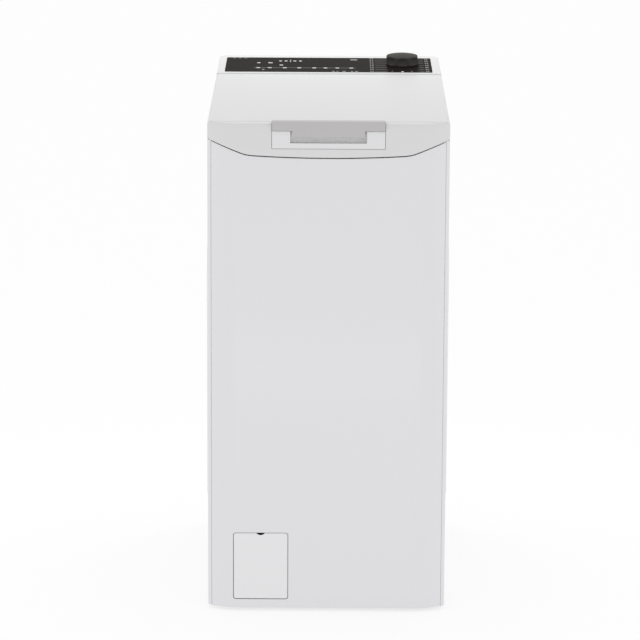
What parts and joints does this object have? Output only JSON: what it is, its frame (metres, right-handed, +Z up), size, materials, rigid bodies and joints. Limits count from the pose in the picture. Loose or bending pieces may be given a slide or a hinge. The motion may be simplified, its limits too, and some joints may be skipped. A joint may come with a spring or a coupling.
{
  "type": "top load washing machine",
  "caption": "Slim top-loading washing machine with a sloping hinged lid, rear control console with one knob, silver lever handle and a service flap low on the front.",
  "frame": {"origin": "on the floor, below the middle of the cabinet", "axes": "+Z up, the front faces -Y, +X to the right when seen from the front"},
  "size_m": [0.407, 0.604, 0.8943],
  "materials": {
    "white_enamel": "smooth gloss enamel",
    "rear_enamel": "satin enamel",
    "galvanised_sheet": "zinc spangle",
    "zinc_fastener": "zinc plated",
    "white_plastic": "fine moulded gloss",
    "well_plastic": "fine moulded texture",
    "silver_handle": "satin silver paint",
    "fascia_black": "gloss with printed marks",
    "knob_black": "satin moulded",
    "circuit_board": "solder mask",
    "grey_plastic": "moulded",
    "lock_steel": "bright",
    "tub_plastic": "filled polypropylene",
    "pump_plastic": "moulded",
    "pump_motor_black": "moulded over windings",
    "concrete": "cast concrete",
    "drum_steel": "stainless",
    "lifter_plastic": "moulded",
    "cast_aluminium": "die cast",
    "bearing_steel": "ground",
    "seal_rubber": "moulded",
    "grey_rubber": "moulded",
    "spring_steel": "drawn wire",
    "heater_steel": "sheathed element",
    "motor_steel": "painted",
    "rotor_steel": "laminated",
    "damper_plastic": "moulded",
    "damper_steel": "drawn",
    "foot_rubber": "moulded"
  },
  "bodies": {
    "cabinet": {"base_tray": "galvanised_sheet", "front_panel": "white_enamel", "side_panel_left": "white_enamel", "side_panel_right": "white_enamel", "rear_panel": "rear_enamel", "cabinet_screws": "zinc_fastener", "top_frame": "well_plastic", "console_housing": "white_plastic", "control_fascia": "fascia_black", "control_board": "circuit_board", "encoder_body": "grey_plastic", "lid_hinge_pins": "zinc_fastener", "door_lock_housing": "grey_plastic", "filter_bay": "grey_plastic", "pump_body": "pump_plastic", "pump_motor": "pump_motor_black", "inlet_valve": "pump_plastic", "drain_outlet": "grey_plastic", "cable_gland": "grey_plastic", "drain_hose": "grey_rubber", "power_module": "grey_plastic", "damper_cylinders": "damper_plastic", "throat_bellows": "grey_rubber", "suspension_springs": "spring_steel", "sump_hose": "grey_rubber", "rear_feet": "foot_rubber"},
    "lid": {"lid_shell": "white_plastic", "lid_liner": "well_plastic", "handle_bezel": "white_plastic", "handle_pin": "zinc_fastener"},
    "lid_handle": {"lid_handle": "silver_handle"},
    "dispenser": {"dispenser": "well_plastic"},
    "lock_bolt": {"lock_bolt": "lock_steel"},
    "tub": {"tub_shell": "tub_plastic", "tub_flange_left": "tub_plastic", "tub_flange_right": "tub_plastic", "tub_bearings": "bearing_steel", "shaft_seals": "seal_rubber", "counterweight_upper": "concrete", "counterweight_lower": "concrete", "heater_element": "heater_steel", "drive_belt": "seal_rubber", "motor_stator": "motor_steel", "damper_rods": "damper_steel"},
    "drum": {"drum_shell": "drum_steel", "drum_ends": "drum_steel", "drum_lifters": "lifter_plastic", "drum_hubs": "cast_aluminium", "drum_pulley": "cast_aluminium", "door_hinge_pins": "drum_steel"},
    "drum_door_front": {"drum_door_front": "drum_steel"},
    "drum_door_rear": {"drum_door_rear": "drum_steel"},
    "door_latch": {"door_latch": "lock_steel"},
    "motor_rotor": {"motor_rotor": "rotor_steel"},
    "program_knob": {"program_knob": "knob_black"},
    "filter_flap": {"filter_flap": "white_plastic"},
    "filter_cap": {"filter_cap": "pump_plastic"},
    "pump_impeller": {"pump_impeller": "pump_plastic"},
    "foot_front_left": {"foot_front_left": "foot_rubber"},
    "foot_front_right": {"foot_front_right": "foot_rubber"}
  },
  "joints": [
    {"name": "lid_hinge", "type": "hinge", "parent": "cabinet", "child": "lid", "pos_m": [0, 0.121, 0.85649], "axis": [-1, 0, 0], "range_deg": [0, 98]},
    {"name": "handle_pivot", "type": "hinge", "parent": "lid", "child": "lid_handle", "pos_m": [0, -0.279, 0.8225], "axis": [-1, 0, 0], "range_deg": [0, 12], "stiffness_Nm_per_rad": 0.6, "springref_deg": -5.73},
    {"name": "dispenser_slide", "type": "slide", "parent": "lid", "child": "dispenser", "axis": [0, -1, 0], "range_m": [0, 0.015]},
    {"name": "lock_bolt_slide", "type": "slide", "parent": "cabinet", "child": "lock_bolt", "axis": [-1, 0, 0], "range_m": [0, 0.008], "stiffness_N_per_m": 100},
    {"name": "tub_suspension", "type": "slide", "parent": "cabinet", "child": "tub", "axis": [0, 0, 1], "range_m": [-0.008, 0.008], "stiffness_N_per_m": 15000, "springref_m": 0.02933, "deforming": ["throat_bellows", "suspension_springs", "sump_hose"]},
    {"name": "drum_spin", "type": "hinge", "parent": "tub", "child": "drum", "pos_m": [0, 0, 0.4], "axis": [1, 0, 0], "range_deg": [-360, 360]},
    {"name": "drum_door_front_hinge", "type": "hinge", "parent": "drum", "child": "drum_door_front", "pos_m": [0, -0.10309, 0.60951], "axis": [1, 0, 0], "range_deg": [0, 90]},
    {"name": "drum_door_rear_hinge", "type": "hinge", "parent": "drum", "child": "drum_door_rear", "pos_m": [0, 0.10309, 0.60951], "axis": [-1, 0, 0], "range_deg": [0, 90]},
    {"name": "door_latch_slide", "type": "slide", "parent": "drum_door_front", "child": "door_latch", "axis": [0, -1, 0], "range_m": [0, 0.003], "stiffness_N_per_m": 200},
    {"name": "motor_spin", "type": "hinge", "parent": "tub", "child": "motor_rotor", "pos_m": [0, 0.158, 0.11], "axis": [1, 0, 0], "continuous": true},
    {"name": "program_knob_turn", "type": "hinge", "parent": "cabinet", "child": "program_knob", "pos_m": [0.132, 0.221, 0.87315], "axis": [0, -0.0863, 0.9963], "continuous": true},
    {"name": "filter_flap_hinge", "type": "hinge", "parent": "cabinet", "child": "filter_flap", "pos_m": [0, -0.298, 0.0244], "axis": [1, 0, 0], "range_deg": [0, 90]},
    {"name": "filter_cap_turn", "type": "hinge", "parent": "cabinet", "child": "filter_cap", "pos_m": [-0.1105, -0.26, 0.072], "axis": [0, 1, 0], "range_deg": [0, 180]},
    {"name": "pump_impeller_spin", "type": "hinge", "parent": "cabinet", "child": "pump_impeller", "pos_m": [-0.1105, -0.18, 0.072], "axis": [0, 1, 0], "continuous": true},
    {"name": "foot_front_left_screw", "type": "slide", "parent": "cabinet", "child": "foot_front_left", "axis": [0, 0, -1], "range_m": [0, 0.012]},
    {"name": "foot_front_right_screw", "type": "slide", "parent": "cabinet", "child": "foot_front_right", "axis": [0, 0, -1], "range_m": [0, 0.012]}
  ],
  "couplings": [
    {"joint": "motor_spin", "follows": "drum_spin", "ratio": 12.727},
    {"joint": "drum_door_rear_hinge", "follows": "drum_door_front_hinge", "ratio": 1}
  ]
}
